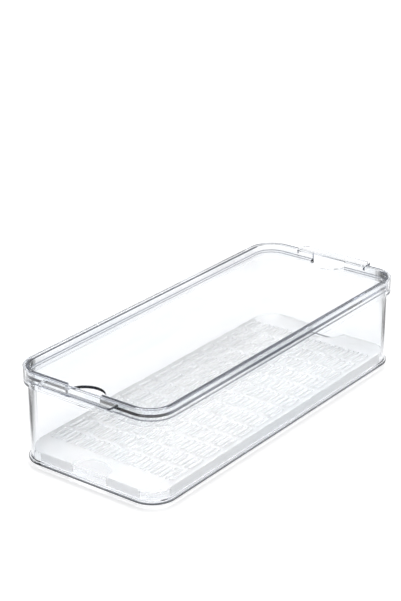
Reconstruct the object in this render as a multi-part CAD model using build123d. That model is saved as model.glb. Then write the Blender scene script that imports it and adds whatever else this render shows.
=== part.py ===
from build123d import *
import os

os.makedirs("parts", exist_ok=True)

# A clear moulded produce bin for a refrigerator shelf, in millimetres.
# X runs along the bin, Z is up, and the origin is at the middle of the bin's footprint on the shelf.
# Three mouldings: the bin with its two end grips, the lid that drops into its mouth,
# and the slotted drain insert that stands on its floor.

# Outside of the bin, without its end grips
bin_length = 380.0
bin_width = 160.0
bin_height = 91.0
corner_radius = 25.5

# Walls of the bin
wall = 2.5
wall_inset = 3.3
edge_break = 0.5

# Upright band round the mouth, with the ledge inside it that carries the lid
rim_wall = 2.3
rim_band = 15.3
ledge_depth = 10.4

# Base: a slab a little proud of the wall, on a foot that stands inboard of it
base_inset = 1.7
base_slab = 2.6
foot_height = 2.4
foot_inset = 16.5
foot_break = 1.0
floor_break = 0.8

# Grips at the two ends: a level plate with a turned-down lip
grip_width = 80.0
grip_reach = 12.0
grip_corner = 5.0
grip_plate = 2.2
grip_lip = 2.0
grip_height = 4.6
grip_step = 0.8

# Lid: an upright wall that stands on the ledge, and a flat panel set down inside it
lid_clearance = 0.6
lid_wall = 2.8
lid_recess = 5.3
lid_plate = 2.8
lid_break = 0.4

# Half-round finger notches at the ends of the lid and of the drain insert
lid_notch_radius = 19.0
insert_notch_radius = 19.4

# Drain insert: a slotted plate on a low skirt
insert_clearance = 1.2
insert_height = 9.2
insert_plate = 1.8
insert_skirt = 1.6
insert_break = 0.4
insert_margin = 5.0
slot_length = 20.0
slot_width = 2.7
slot_pitch_along = 24.2
slot_pitch_across = 5.5

# Allowance by which a cutter runs past the face that it cuts
past = 1.0

# Levels and insets that follow from the sizes above
rim_bottom = bin_height - rim_band
ledge_top = bin_height - ledge_depth
slab_top = foot_height + base_slab
inside_inset = wall_inset + wall
lid_inset = rim_wall + lid_clearance
lid_inner_inset = lid_inset + lid_wall
panel_top = bin_height - lid_recess
panel_bottom = panel_top - lid_plate
insert_inset = inside_inset + insert_clearance
insert_top = slab_top + insert_height
plate_bottom = insert_top - insert_plate


def plan(inset):
    """Rounded rectangle of the bin's plan, set in from the rim's outer face."""
    radius = corner_radius - inset
    return RectangleRounded(bin_length - 2 * inset, bin_width - 2 * inset, radius)


def slab(inset, low, high):
    """The plan at an inset, as a block from one level to another."""
    return extrude(Pos(0, 0, low) * plan(inset), amount=high - low)


def edges_at(solid, level, inset):
    """The edges that lie at one level on the outline at an inset."""
    half_length = bin_length / 2 - inset
    half_width = bin_width / 2 - inset
    reach = 0.01
    found = []
    for edge in solid.edges():
        box = edge.bounding_box()
        flat = abs(box.min.Z - level) < reach and abs(box.max.Z - level) < reach
        along_side = abs(max(abs(box.min.Y), abs(box.max.Y)) - half_width) < reach
        along_end = abs(max(abs(box.min.X), abs(box.max.X)) - half_length) < reach
        inside = max(abs(box.min.X), abs(box.max.X)) < half_length + reach
        within = max(abs(box.min.Y), abs(box.max.Y)) < half_width + reach
        if flat and inside and within and (along_side or along_end):
            found.append(edge)
    return found


def grip():
    """One end grip at the +X end: a plate with a lip turned down round its free edges."""
    top = bin_height - grip_step
    root = bin_length / 2 - rim_wall / 2
    tip = bin_length / 2 + grip_reach
    block = Pos((root + tip) / 2, 0, top - grip_height / 2) * Box(tip - root, grip_width, grip_height)
    tip_edges = block.edges().filter_by(Axis.Z).group_by(Axis.X)[-1]
    block = fillet(tip_edges, grip_corner)
    block = chamfer(block.faces().sort_by(Axis.Z)[-1].edges().sort_by(Axis.X)[1:], edge_break)
    pocket_root = bin_length / 2
    pocket_length = tip - grip_lip - pocket_root
    pocket_height = grip_height - grip_plate
    pocket = Pos(pocket_root + pocket_length / 2, 0, top - grip_plate - pocket_height / 2) * Box(
        pocket_length, grip_width - 2 * grip_lip, pocket_height
    )
    pocket_edges = pocket.edges().filter_by(Axis.Z).group_by(Axis.X)[-1]
    pocket = fillet(pocket_edges, grip_corner - grip_lip)
    return block - pocket


def bin_shell():
    """The bin: foot, base slab, wall, and the wider band round the mouth with its inner ledge."""
    foot = slab(foot_inset, 0, slab_top)
    foot = chamfer(edges_at(foot, 0, foot_inset), foot_break)
    base = slab(base_inset, foot_height, slab_top)
    base = chamfer(edges_at(base, slab_top, base_inset), edge_break)
    base = chamfer(edges_at(base, foot_height, base_inset), edge_break)
    band = slab(0, rim_bottom, bin_height)
    band = chamfer(edges_at(band, rim_bottom, 0), edge_break)
    shell = foot + base + slab(wall_inset, foot_height, bin_height) + band
    cavity = slab(inside_inset, slab_top, bin_height)
    cavity = chamfer(edges_at(cavity, slab_top, inside_inset), floor_break)
    sump = slab(foot_inset + base_slab, base_slab, slab_top)
    mouth = slab(rim_wall, ledge_top, bin_height)
    shell = shell + grip() + mirror(grip(), about=Plane.YZ)
    return shell - cavity - sump - mouth


def end_cutter(radius, inset, low, high):
    """Upright cylinders centred on the two ends of an outline, for the finger notches."""
    height = high - low
    centre = bin_length / 2 - inset
    return [Pos(side * centre, 0, low + height / 2) * Cylinder(radius, height) for side in (-1, 1)]


def lid():
    """The lid: an upright wall all round, a flat panel inside it, and a finger notch at each end."""
    body = slab(lid_inset, ledge_top, bin_height)
    body = body - slab(lid_inner_inset, panel_top, bin_height) - slab(lid_inner_inset, ledge_top, panel_bottom)
    for inset in (lid_inset, lid_inner_inset):
        body = chamfer(edges_at(body, bin_height, inset), lid_break)
    for cutter in end_cutter(lid_notch_radius, lid_inset, ledge_top - past, bin_height + past):
        body = body - cutter
    return body


def slot_places():
    """Middles of the slots: a grid, without those that would meet the border or a finger notch."""
    half_length = bin_length / 2 - insert_inset
    half_width = bin_width / 2 - insert_inset
    clear_x = half_length - insert_margin - slot_length / 2
    clear_y = half_width - insert_margin - slot_width / 2
    steps_along = int(clear_x / slot_pitch_along)
    steps_across = int(clear_y / slot_pitch_across)
    corner = corner_radius - insert_inset
    places = []
    for i in range(-steps_along, steps_along + 1):
        for j in range(-steps_across, steps_across + 1):
            x = i * slot_pitch_along
            y = j * slot_pitch_across
            tip_x = abs(x) + slot_length / 2
            tip_y = abs(y) + slot_width / 2
            notch_gap = ((half_length - tip_x) ** 2 + (abs(y) - slot_width / 2) ** 2) ** 0.5
            near_notch = notch_gap < insert_notch_radius + insert_margin and abs(y) < half_width / 2
            over_x = max(tip_x - (half_length - corner), 0)
            over_y = max(tip_y - (half_width - corner), 0)
            near_corner = (over_x ** 2 + over_y ** 2) ** 0.5 > corner - insert_margin / 2
            if not near_notch and not near_corner:
                places.append(Pos(x, y, 0))
    return places


def drain_insert():
    """The drain insert: a slotted plate, with a skirt below it that stops short of the corners."""
    outer = slab(insert_inset, slab_top, insert_top)
    outer = chamfer(edges_at(outer, insert_top, insert_inset), insert_break)
    body = outer - slab(insert_inset + insert_skirt, slab_top, plate_bottom)
    corner = corner_radius - insert_inset
    half_length = bin_length / 2 - insert_inset
    half_width = bin_width / 2 - insert_inset
    gap_height = plate_bottom - slab_top
    for side_x in (-1, 1):
        for side_y in (-1, 1):
            middle = Pos(side_x * (half_length - corner / 2), side_y * (half_width - corner / 2))
            body = body - middle * Pos(0, 0, slab_top + gap_height / 2) * Box(corner, corner, gap_height)
    for cutter in end_cutter(insert_notch_radius, insert_inset, slab_top - past, insert_top + past):
        body = body - cutter
    slots = Sketch() + [place * Rectangle(slot_length, slot_width) for place in slot_places()]
    return body - extrude(Pos(0, 0, plate_bottom - past) * slots, amount=insert_plate + 2 * past)


export_step(bin_shell(), "parts/bin_body.step")
export_step(lid(), "parts/lid.step")
export_step(drain_insert(), "parts/drain_insert.step")
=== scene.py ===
"""A clear produce bin for a refrigerator shelf, dressed around its packed construction model.

The file is laid out as an add-on: property groups hold the sizes and colours, operators make the
finish of the mouldings and the stage, and a panel in the sidebar lists them. Lengths are in metres.
"""

import math

import bpy
import numpy as np
from bpy.props import FloatProperty, FloatVectorProperty, IntProperty, PointerProperty
from mathutils import Matrix, Vector

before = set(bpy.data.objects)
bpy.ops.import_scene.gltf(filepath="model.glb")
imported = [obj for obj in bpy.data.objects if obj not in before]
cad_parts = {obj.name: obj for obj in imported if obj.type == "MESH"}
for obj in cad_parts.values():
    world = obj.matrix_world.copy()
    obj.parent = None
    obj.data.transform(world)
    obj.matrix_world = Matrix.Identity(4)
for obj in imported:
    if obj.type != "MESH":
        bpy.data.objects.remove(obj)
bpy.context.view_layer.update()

bl_info = {
    "name": "Clear Produce Bin",
    "version": (1, 0, 0),
    "blender": (4, 5, 0),
    "location": "View3D > Sidebar > Produce Bin",
    "description": "Finishes the mouldings of a clear refrigerator bin and sets its studio",
    "category": "Add Mesh",
}


class StageSettings(bpy.types.PropertyGroup):
    """The camera, the lamp, the room's light and the surface that the bin stands on."""

    azimuth: FloatProperty(
        name="Azimuth", description="Direction the camera looks in, from above",
        default=math.radians(-52.71), subtype="ANGLE")
    elevation: FloatProperty(
        name="Elevation", description="How steeply the camera looks down",
        default=math.radians(22.95), subtype="ANGLE")
    roll: FloatProperty(
        name="Roll", description="Turn of the camera about its line of sight",
        default=math.radians(-0.32), subtype="ANGLE")
    distance: FloatProperty(
        name="Distance", description="From the camera to the footprint's middle, along the line of sight",
        default=1.58035, unit="LENGTH")
    aim: FloatVectorProperty(
        name="Aim", description="Where the middle of the footprint lies across the camera's line of sight",
        size=2, default=(0.01599, -0.09914), unit="LENGTH")
    picture_height: FloatProperty(
        name="Picture Height", description="Height of the camera's picture, in millimetres",
        default=36.0)
    lens: FloatProperty(
        name="Lens", description="Focal length for that picture height, in millimetres",
        default=101.46)
    view_reach: FloatProperty(
        name="View Reach", description="How far the camera sees",
        default=100.0, unit="LENGTH")
    surface_reach: FloatProperty(
        name="Surface Reach", description="From the middle of the surface under the bin to each of its sides",
        default=6.0, unit="LENGTH")
    surface_color: FloatVectorProperty(
        name="Surface", description="Colour of the surface under the bin",
        size=3, subtype="COLOR", default=(0.84, 0.84, 0.845))
    surface_glow: FloatProperty(
        name="Surface Glow", description="Light added to the surface where the camera sees it",
        default=0.48)
    surface_gloss: FloatProperty(
        name="Surface Gloss", description="Roughness of the surface, in which the bin's foot is mirrored",
        default=0.015)
    room_color: FloatVectorProperty(
        name="Room", description="Colour of the room's own soft light",
        size=3, subtype="COLOR", default=(0.8, 0.8, 0.8))
    room_light: FloatProperty(
        name="Room Light", description="Strength of the room's own soft light",
        default=0.5)
    card_shade: FloatProperty(
        name="Card Shade", description="Brightness of the dark cards that lie left and right of the bin",
        default=0.05)
    card_start: FloatProperty(
        name="Card Start", description="Distance from the bin's middle at which the dark cards begin",
        default=0.168, unit="LENGTH")
    card_end: FloatProperty(
        name="Card End", description="Distance from the bin's middle at which they end",
        default=0.24, unit="LENGTH")
    card_fade: FloatProperty(
        name="Card Fade", description="Factor on either distance over which the card fades in or out",
        default=1.3)
    light_bounces: IntProperty(
        name="Light Bounces", description="How often light may turn inside the clear walls",
        default=96)
    key_power: FloatProperty(
        name="Key Power", description="Strength of the soft overhead lamp, in watts per square metre",
        default=1.6)
    key_spread: FloatProperty(
        name="Key Spread", description="Width of the overhead lamp as seen from the bin",
        default=math.radians(70), subtype="ANGLE")
    key_direction: FloatVectorProperty(
        name="Key Direction", description="Where the overhead lamp stands, seen from the bin",
        size=3, default=(0.5, 0.15, 1.0))


class PatternSettings(bpy.types.PropertyGroup):
    """What moulding and handling leave on the faces: streaks, blotches with specks in them, and a wave."""

    streak_scale: FloatVectorProperty(
        name="Streak Scale", description="Fineness of the flow streaks along the bin, across it and up",
        size=3, default=(6.0, 45.0, 30.0))
    streak_range: FloatVectorProperty(
        name="Streak Range", description="Noise values between which a streak comes in",
        size=2, default=(0.4, 0.75))
    blotch_scale: FloatProperty(
        name="Blotch Scale", description="Fineness of the handled patches",
        default=22.0)
    blotch_range: FloatVectorProperty(
        name="Blotch Range", description="Noise values between which a patch comes in",
        size=2, default=(0.5, 0.72))
    speck_scale: FloatProperty(
        name="Speck Scale", description="Fineness of the specks in the handled patches",
        default=160.0)
    speck_range: FloatVectorProperty(
        name="Speck Range", description="Noise values between which a speck comes in",
        size=2, default=(0.35, 0.7))
    speck_floor: FloatProperty(
        name="Speck Floor", description="Share of a patch's roughness that is left between its specks",
        default=0.3, min=0.0, max=1.0)
    wave_scale: FloatProperty(
        name="Wave Scale", description="Fineness of the slow wave of the walls",
        default=26.0)
    wave_height: FloatProperty(
        name="Wave Height", description="Height of the wave at full ripple",
        default=0.001, unit="LENGTH")
    grain_scale: FloatProperty(
        name="Grain Scale", description="Fineness of the grain on the wave",
        default=420.0)
    grain_share: FloatProperty(
        name="Grain Share", description="Height of the grain as a share of the wave's",
        default=0.04, min=0.0, max=1.0)


class PlasticSettings(bpy.types.PropertyGroup):
    """The clear moulded plastic that all three mouldings share."""

    pattern: PointerProperty(type=PatternSettings)
    tint: FloatVectorProperty(
        name="Tint", description="Colour of the plastic's surface",
        size=3, subtype="COLOR", default=(0.99, 0.993, 0.996))
    flow_tint: FloatVectorProperty(
        name="Flow Tint", description="Colour of the faint streaks that the plastic's flow leaves",
        size=3, subtype="COLOR", default=(0.955, 0.972, 0.985))
    depth_color: FloatVectorProperty(
        name="Depth Colour", description="Colour that light keeps on a long way through the plastic",
        size=3, subtype="COLOR", default=(0.13, 0.19, 0.32))
    depth_density: FloatProperty(
        name="Depth Density", description="How quickly a long way through the plastic darkens, per metre",
        default=16.0)
    satin_density: FloatProperty(
        name="Satin Density", description="The same for the drain insert, per metre",
        default=0.5)
    plan_size: FloatVectorProperty(
        name="Plan Size", description="Length and width of the bin's plan, without the grips",
        size=2, default=(0.380, 0.160), unit="LENGTH")
    plan_corner: FloatProperty(
        name="Plan Corner", description="Radius of the plan's corners",
        default=0.0255, unit="LENGTH")
    # Painted shade: the next four settings give the base slab's lower outer faces a near-black tint with
    # faint lighter streaks, in place of the dark line at the bin's foot.
    painted_edge_shade_color: FloatVectorProperty(
        name="Edge Colour", description="Colour of the base slab's outer edge",
        size=3, subtype="COLOR", default=(0.045, 0.048, 0.053))
    painted_shade_streaks: FloatProperty(
        name="Edge Streaks", description="Brightness of the streaks on that edge, as a share of its colour",
        default=0.8, min=0.0, max=1.0)
    edge_top: FloatProperty(
        name="Edge Top", description="Height up to which the base slab's outer faces count as its edge",
        default=0.0046, unit="LENGTH")
    edge_inset: FloatProperty(
        name="Edge Inset", description="Distance from the plan's outline up to which they do",
        default=0.0023, unit="LENGTH")
    seat_reach: FloatProperty(
        name="Seat Reach", description="Height over a moulding's lowest point up to which a face is its seat",
        default=0.00001, unit="LENGTH")
    lamp_share: FloatProperty(
        name="Lamp Share", description="Share of the lamps' light that passes a face squarely",
        default=0.99, min=0.0, max=1.0)
    edge_shadow: FloatProperty(
        name="Edge Shadow", description="Share of the lamps' light that passes a face at a flat angle",
        default=0.50, min=0.0, max=1.0)
    flat_angles: FloatVectorProperty(
        name="Flat Angles", description="Facing values between which the first share turns into the second",
        size=2, default=(0.45, 0.9))
    roughness: FloatProperty(
        name="Roughness", description="Roughness of the polished faces",
        default=0.012, min=0.0, max=1.0)
    frosting: FloatProperty(
        name="Frosting", description="Roughness of the drain insert's satin faces",
        default=0.38, min=0.0, max=1.0)
    satin_cover: FloatProperty(
        name="Satin Cover", description="Share of the light that the drain insert's satin faces scatter",
        default=0.5, min=0.0, max=1.0)
    smudges: FloatProperty(
        name="Smudges", description="Roughness added where the faces have been handled",
        default=0.03, min=0.0, max=1.0)
    ripple: FloatProperty(
        name="Ripple", description="Strength of the slow waviness of the moulded walls",
        default=0.12, min=0.0, max=1.0)
    refraction: FloatProperty(
        name="Refraction", description="Index of refraction of the plastic",
        default=1.49)


def empty_tree(owner, kind):
    """The node tree of a material or a world, emptied, and its new output node."""
    owner.use_nodes = True
    nodes, links = owner.node_tree.nodes, owner.node_tree.links
    nodes.clear()
    return nodes, links, nodes.new(f"ShaderNodeOutput{kind}")


def sums(nodes, links, operation, *values):
    """A maths node over numbers and other nodes' outputs."""
    node = nodes.new("ShaderNodeMath")
    node.operation = operation
    for socket, value in zip(node.inputs, values):
        if isinstance(value, bpy.types.NodeSocket):
            links.new(value, socket)
        else:
            socket.default_value = value
    return node.outputs[0]


def ramp(nodes, links, value, low, high, to_low, to_high):
    """A value between two limits, brought smoothly to two others."""
    node = nodes.new("ShaderNodeMapRange")
    node.interpolation_type = "SMOOTHSTEP"
    node.inputs["From Min"].default_value = low
    node.inputs["From Max"].default_value = high
    node.inputs["To Min"].default_value = to_low
    node.inputs["To Max"].default_value = to_high
    links.new(value, node.inputs["Value"])
    return node.outputs["Result"]


def blend(nodes, links, share, first, second):
    """Two shaders, mixed by the second one's share."""
    mix = nodes.new("ShaderNodeMixShader")
    for socket, source in zip(mix.inputs, (share, first, second)):
        links.new(source, socket)
    return mix.outputs[0]


def noise(nodes, links, coordinate, scale, detail):
    """A noise texture over a coordinate, from nought to one."""
    texture = nodes.new("ShaderNodeTexNoise")
    texture.inputs["Scale"].default_value = scale
    texture.inputs["Detail"].default_value = detail
    links.new(coordinate, texture.inputs["Vector"])
    return texture.outputs["Fac"]


def camera_matrix(stage):
    """The camera's place and turn, from its angles.

    The frame's three directions are right, up and back, and the roll turns the first two about the third.
    """
    a, e, r = stage.azimuth, stage.elevation, stage.roll
    right = Vector((math.cos(a), math.sin(a), 0))
    back = Vector((math.sin(a) * math.cos(e), -math.cos(a) * math.cos(e), math.sin(e)))
    up = back.cross(right)
    rolled_right = math.cos(r) * right + math.sin(r) * up
    rolled_up = -math.sin(r) * right + math.cos(r) * up
    place = stage.distance * back - stage.aim[0] * rolled_right - stage.aim[1] * rolled_up
    turn = Matrix((rolled_right, rolled_up, back)).transposed().to_4x4()
    return Matrix.Translation(place) @ turn


def add_camera(stage):
    """The camera at the photograph's viewing angle."""
    data = bpy.data.cameras.new("camera")
    data.sensor_width = stage.picture_height
    data.lens = stage.lens
    data.clip_end = stage.view_reach
    camera = bpy.data.objects.new("camera", data)
    bpy.context.scene.collection.objects.link(camera)
    camera.matrix_world = camera_matrix(stage)
    bpy.context.scene.camera = camera


def add_lamp(stage):
    """One broad soft lamp, far enough off to light the whole surface alike."""
    data = bpy.data.lights.new("overhead", "SUN")
    data.energy = stage.key_power
    data.angle = stage.key_spread
    lamp = bpy.data.objects.new("overhead", data)
    bpy.context.scene.collection.objects.link(lamp)
    away = Vector(stage.key_direction).normalized()
    lamp.matrix_world = away.to_track_quat("Z", "Y").to_matrix().to_4x4()


def seen_ray(nodes, links):
    """One for a ray from the camera, straight, mirrored or through the plastic, and nought for the rest."""
    path = nodes.new("ShaderNodeLightPath")
    last = path.outputs["Is Camera Ray"]
    for kind in ("Is Transmission Ray", "Is Glossy Ray"):
        last = sums(nodes, links, "MAXIMUM", last, path.outputs[kind])
    return last


def card_mask(nodes, links, stage):
    """One on two strips of the surface, left and right of the line of sight, for refracted rays alone."""
    across = nodes.new("ShaderNodeVectorMath")
    across.operation = "DOT_PRODUCT"
    across.inputs[1].default_value = (math.cos(stage.azimuth), math.sin(stage.azimuth), 0)
    links.new(nodes.new("ShaderNodeNewGeometry").outputs["Position"], across.inputs[0])
    aside = sums(nodes, links, "ABSOLUTE", across.outputs["Value"])
    last = nodes.new("ShaderNodeLightPath").outputs["Is Transmission Ray"]
    for low, before, after in ((stage.card_start, 0.0, 1.0), (stage.card_end, 1.0, 0.0)):
        side = ramp(nodes, links, aside, low, stage.card_fade * low, before, after)
        last = sums(nodes, links, "MULTIPLY", side, last)
    return last


def surface_material(stage):
    """The pale surface: it scatters light, keeps the bin's shadow, and renders white to the camera."""
    mat = bpy.data.materials.new("pale_surface")
    nodes, links, out = empty_tree(mat, "Material")
    base = nodes.new("ShaderNodeBsdfPrincipled")
    base.inputs["Base Color"].default_value = (*stage.surface_color, 1)
    base.inputs["Roughness"].default_value = stage.surface_gloss
    glow = nodes.new("ShaderNodeEmission")
    brightness = sums(nodes, links, "MULTIPLY", seen_ray(nodes, links), stage.surface_glow)
    links.new(brightness, glow.inputs["Strength"])
    lit = nodes.new("ShaderNodeAddShader")
    links.new(base.outputs[0], lit.inputs[0])
    links.new(glow.outputs[0], lit.inputs[1])
    card = nodes.new("ShaderNodeEmission")
    card.inputs["Strength"].default_value = stage.card_shade
    laid = blend(nodes, links, card_mask(nodes, links, stage), lit.outputs[0], card.outputs[0])
    links.new(laid, out.inputs["Surface"])
    return mat


def add_surface(stage):
    """The level surface at the bin's foot: a plane, x = u, y = v, z = 0."""
    half = stage.surface_reach
    mesh = bpy.data.meshes.new("surface")
    corners = np.array([(-half, -half, 0), (half, -half, 0), (half, half, 0), (-half, half, 0)], float)
    mesh.from_pydata(corners.tolist(), [], [(0, 1, 2, 3)])
    mesh.materials.append(surface_material(stage))
    surface = bpy.data.objects.new("surface", mesh)
    bpy.context.scene.collection.objects.link(surface)


def add_room(stage):
    """The room's soft light: white to the camera and grey to everything else."""
    world = bpy.data.worlds.new("room")
    bpy.context.scene.world = world
    nodes, links, out = empty_tree(world, "World")
    lights = []
    for color, strength in ((stage.room_color, stage.room_light), ((1, 1, 1), 1.0)):
        light = nodes.new("ShaderNodeBackground")
        light.inputs["Color"].default_value = (*color, 1)
        light.inputs["Strength"].default_value = strength
        lights.append(light.outputs[0])
    links.new(blend(nodes, links, seen_ray(nodes, links), *lights), out.inputs["Surface"])


def moulded_finish(pattern):
    """The finish of moulded plastic, from object coordinates.

    Streaks run along the bin where the plastic flowed, two sizes of soft blotches roughen the faces where
    they were handled, and a slow wave with a fine grain on it tilts the normal.
    """
    group = bpy.data.node_groups.new("moulded_finish", "ShaderNodeTree")
    face = group.interface
    for label, kind in (("Tint", "Color"), ("Flow Tint", "Color"), ("Roughness", "Float"),
                        ("Smudges", "Float"), ("Ripple", "Float")):
        face.new_socket(name=label, in_out="INPUT", socket_type=f"NodeSocket{kind}")
    for label, kind in (("Color", "Color"), ("Roughness", "Float"), ("Normal", "Vector")):
        face.new_socket(name=label, in_out="OUTPUT", socket_type=f"NodeSocket{kind}")
    nodes, links = group.nodes, group.links
    given = nodes.new("NodeGroupInput").outputs
    made = nodes.new("NodeGroupOutput").inputs
    place = nodes.new("ShaderNodeTexCoord").outputs["Object"]

    stretch = nodes.new("ShaderNodeMapping")
    stretch.inputs["Scale"].default_value = pattern.streak_scale
    links.new(place, stretch.inputs["Vector"])
    streaks = noise(nodes, links, stretch.outputs["Vector"], scale=1.0, detail=2.0)
    color = nodes.new("ShaderNodeMix")
    color.data_type = "RGBA"
    links.new(ramp(nodes, links, streaks, *pattern.streak_range, 0.0, 1.0), color.inputs["Factor"])
    links.new(given["Tint"], color.inputs["A"])
    links.new(given["Flow Tint"], color.inputs["B"])
    links.new(color.outputs["Result"], made["Color"])

    blotches = noise(nodes, links, place, pattern.blotch_scale, detail=3.0)
    blotches = ramp(nodes, links, blotches, *pattern.blotch_range, 0.0, 1.0)
    specks = noise(nodes, links, place, pattern.speck_scale, detail=4.0)
    specks = ramp(nodes, links, specks, *pattern.speck_range, pattern.speck_floor, 1.0)
    handled = sums(nodes, links, "MULTIPLY", blotches, specks)
    rough = sums(nodes, links, "MULTIPLY_ADD", handled, given["Smudges"], given["Roughness"])
    links.new(rough, made["Roughness"])

    wave = noise(nodes, links, place, pattern.wave_scale, detail=1.0)
    grain = noise(nodes, links, place, pattern.grain_scale, detail=2.0)
    bump = nodes.new("ShaderNodeBump")
    bump.inputs["Distance"].default_value = pattern.wave_height
    links.new(given["Ripple"], bump.inputs["Strength"])
    links.new(sums(nodes, links, "MULTIPLY_ADD", grain, pattern.grain_share, wave), bump.inputs["Height"])
    links.new(bump.outputs["Normal"], made["Normal"])
    return group


def clear_plastic(name, plastic, roughness, density):
    """Clear moulded plastic: refracts, tints long ways through it, and lets lamps shine through.

    Light that meets a face at a flat angle is thrown aside, so upright walls keep a shadow at their foot.
    """
    mat = bpy.data.materials.new(name)
    nodes, links, out = empty_tree(mat, "Material")
    finish = nodes.new("ShaderNodeGroup")
    finish.node_tree = bpy.data.node_groups.get("moulded_finish") or moulded_finish(plastic.pattern)
    finish.inputs["Tint"].default_value = (*plastic.tint, 1)
    finish.inputs["Flow Tint"].default_value = (*plastic.flow_tint, 1)
    finish.inputs["Roughness"].default_value = roughness
    finish.inputs["Smudges"].default_value = plastic.smudges
    finish.inputs["Ripple"].default_value = plastic.ripple
    base = nodes.new("ShaderNodeBsdfPrincipled")
    links.new(finish.outputs["Color"], base.inputs["Base Color"])
    links.new(finish.outputs["Roughness"], base.inputs["Roughness"])
    links.new(finish.outputs["Normal"], base.inputs["Normal"])
    base.inputs["IOR"].default_value = plastic.refraction
    base.inputs["Transmission Weight"].default_value = 1.0
    through = nodes.new("ShaderNodeBsdfTransparent")
    slant = nodes.new("ShaderNodeLayerWeight").outputs["Facing"]
    passed = ramp(nodes, links, slant, *plastic.flat_angles, plastic.lamp_share, plastic.edge_shadow)
    links.new(passed, through.inputs["Color"])
    path = nodes.new("ShaderNodeLightPath").outputs
    lamps = sums(nodes, links, "MAXIMUM", path["Is Shadow Ray"], path["Is Diffuse Ray"])
    links.new(blend(nodes, links, lamps, base.outputs[0], through.outputs[0]), out.inputs["Surface"])
    depth = nodes.new("ShaderNodeVolumeAbsorption")
    depth.inputs["Color"].default_value = (*plastic.depth_color, 1)
    depth.inputs["Density"].default_value = density
    links.new(depth.outputs[0], out.inputs["Volume"])
    return mat


def clear_seat(name, mat, plastic):
    """Lets light pass straight through the flat underside on which a moulding stands on another.

    The two faces touch there, so only the lower one may bend the light.
    """
    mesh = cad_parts[name].data
    seat = mat.copy()
    seat.name = f"{name}_seat"
    seat.node_tree.nodes["Principled BSDF"].inputs["Alpha"].default_value = 0.0
    mesh.materials.append(seat)
    lowest = min(vertex.co.z for vertex in mesh.vertices)
    for face in mesh.polygons:
        if abs(face.center.z - lowest) < plastic.seat_reach:
            face.material_index = 1


def painted_edge_shade(name, mat, plastic):
    """Paints shade onto the upright outer faces of the base slab: a near-black tint stands in for the dark
    line that light bent through the whole floor leaves at the bin's foot.

    A face counts if its middle lies below the slab's top and within a set distance of the plan's outline,
    a rectangle with rounded corners: the corner radius less the distance from the nearest corner's centre.
    """
    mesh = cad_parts[name].data
    # This copy of the material, named after the edge, carries the painted shade.
    edge = mat.copy()
    edge.name = f"{name}_edge"
    finish = next(node for node in edge.node_tree.nodes if node.type == "GROUP")
    # Painted shade: tint and streak colour become the near-black colour of the painted dark line.
    finish.inputs["Tint"].default_value = (*plastic.painted_edge_shade_color, 1)
    finish.inputs["Flow Tint"].default_value = (*(plastic.painted_shade_streaks * v for v in plastic.painted_edge_shade_color), 1)
    mesh.materials.append(edge)
    half = [0.5 * size for size in plastic.plan_size]
    for face in mesh.polygons:
        reach = [max(abs(face.center[i]) - half[i] + plastic.plan_corner, 0.0) for i in (0, 1)]
        inset = plastic.plan_corner - math.hypot(*reach)
        if face.center.z < plastic.edge_top and inset < plastic.edge_inset:
            face.material_index = 1


def finish_node(name, mat):
    """Gives a moulding of the construction model its material."""
    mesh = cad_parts[name].data
    mesh.materials.clear()
    mesh.materials.append(mat)


class PRODUCEBIN_OT_stage(bpy.types.Operator):
    """Make the surface, the lamp, the room light and the camera"""

    bl_idname = "produce_bin.stage"
    bl_label = "Stage"

    def execute(self, context):
        stage = context.scene.produce_bin_stage
        add_surface(stage)
        add_room(stage)
        add_lamp(stage)
        add_camera(stage)
        cycles = context.scene.cycles
        cycles.max_bounces = stage.light_bounces
        cycles.glossy_bounces = stage.light_bounces
        cycles.transmission_bounces = stage.light_bounces
        cycles.transparent_max_bounces = stage.light_bounces
        return {"FINISHED"}


class PRODUCEBIN_OT_mouldings(bpy.types.Operator):
    """Finish the bin, its lid and its drain insert in clear plastic"""

    bl_idname = "produce_bin.mouldings"
    bl_label = "Mouldings"

    def execute(self, context):
        plastic = context.scene.produce_bin_plastic
        finishes = {}
        for node in ("bin_body", "lid"):
            finishes[node] = clear_plastic(f"{node}_clear", plastic, plastic.roughness, plastic.depth_density)
        satin = clear_plastic("drain_insert_satin", plastic, plastic.frosting, plastic.satin_density)
        satin.node_tree.nodes["Principled BSDF"].inputs["Alpha"].default_value = plastic.satin_cover
        finishes["drain_insert"] = satin
        for node, mat in finishes.items():
            finish_node(node, mat)
        # Paints shade onto the base slab's outer edge as a near-black tint.
        painted_edge_shade("bin_body", finishes["bin_body"], plastic)
        for node in ("lid", "drain_insert"):
            clear_seat(node, finishes[node], plastic)
        return {"FINISHED"}


class PRODUCEBIN_PT_panel(bpy.types.Panel):
    """The bin's settings and steps"""

    bl_idname = "PRODUCEBIN_PT_panel"
    bl_label = "Produce Bin"
    bl_space_type = "VIEW_3D"
    bl_region_type = "UI"
    bl_category = "Produce Bin"

    def draw(self, context):
        for operator in OPERATORS:
            self.layout.operator(operator.bl_idname)


SETTINGS = (StageSettings, PatternSettings, PlasticSettings)
OPERATORS = (PRODUCEBIN_OT_stage, PRODUCEBIN_OT_mouldings)
CLASSES = SETTINGS + OPERATORS + (PRODUCEBIN_PT_panel,)


def register():
    for cls in CLASSES:
        bpy.utils.register_class(cls)
    bpy.types.Scene.produce_bin_stage = PointerProperty(type=StageSettings)
    bpy.types.Scene.produce_bin_plastic = PointerProperty(type=PlasticSettings)


def unregister():
    del bpy.types.Scene.produce_bin_plastic
    del bpy.types.Scene.produce_bin_stage
    for cls in reversed(CLASSES):
        bpy.utils.unregister_class(cls)


def main():
    register()
    bpy.context.scene.view_settings.view_transform = "Standard"
    bpy.ops.produce_bin.stage()
    bpy.ops.produce_bin.mouldings()


if __name__ == "__main__":
    main()
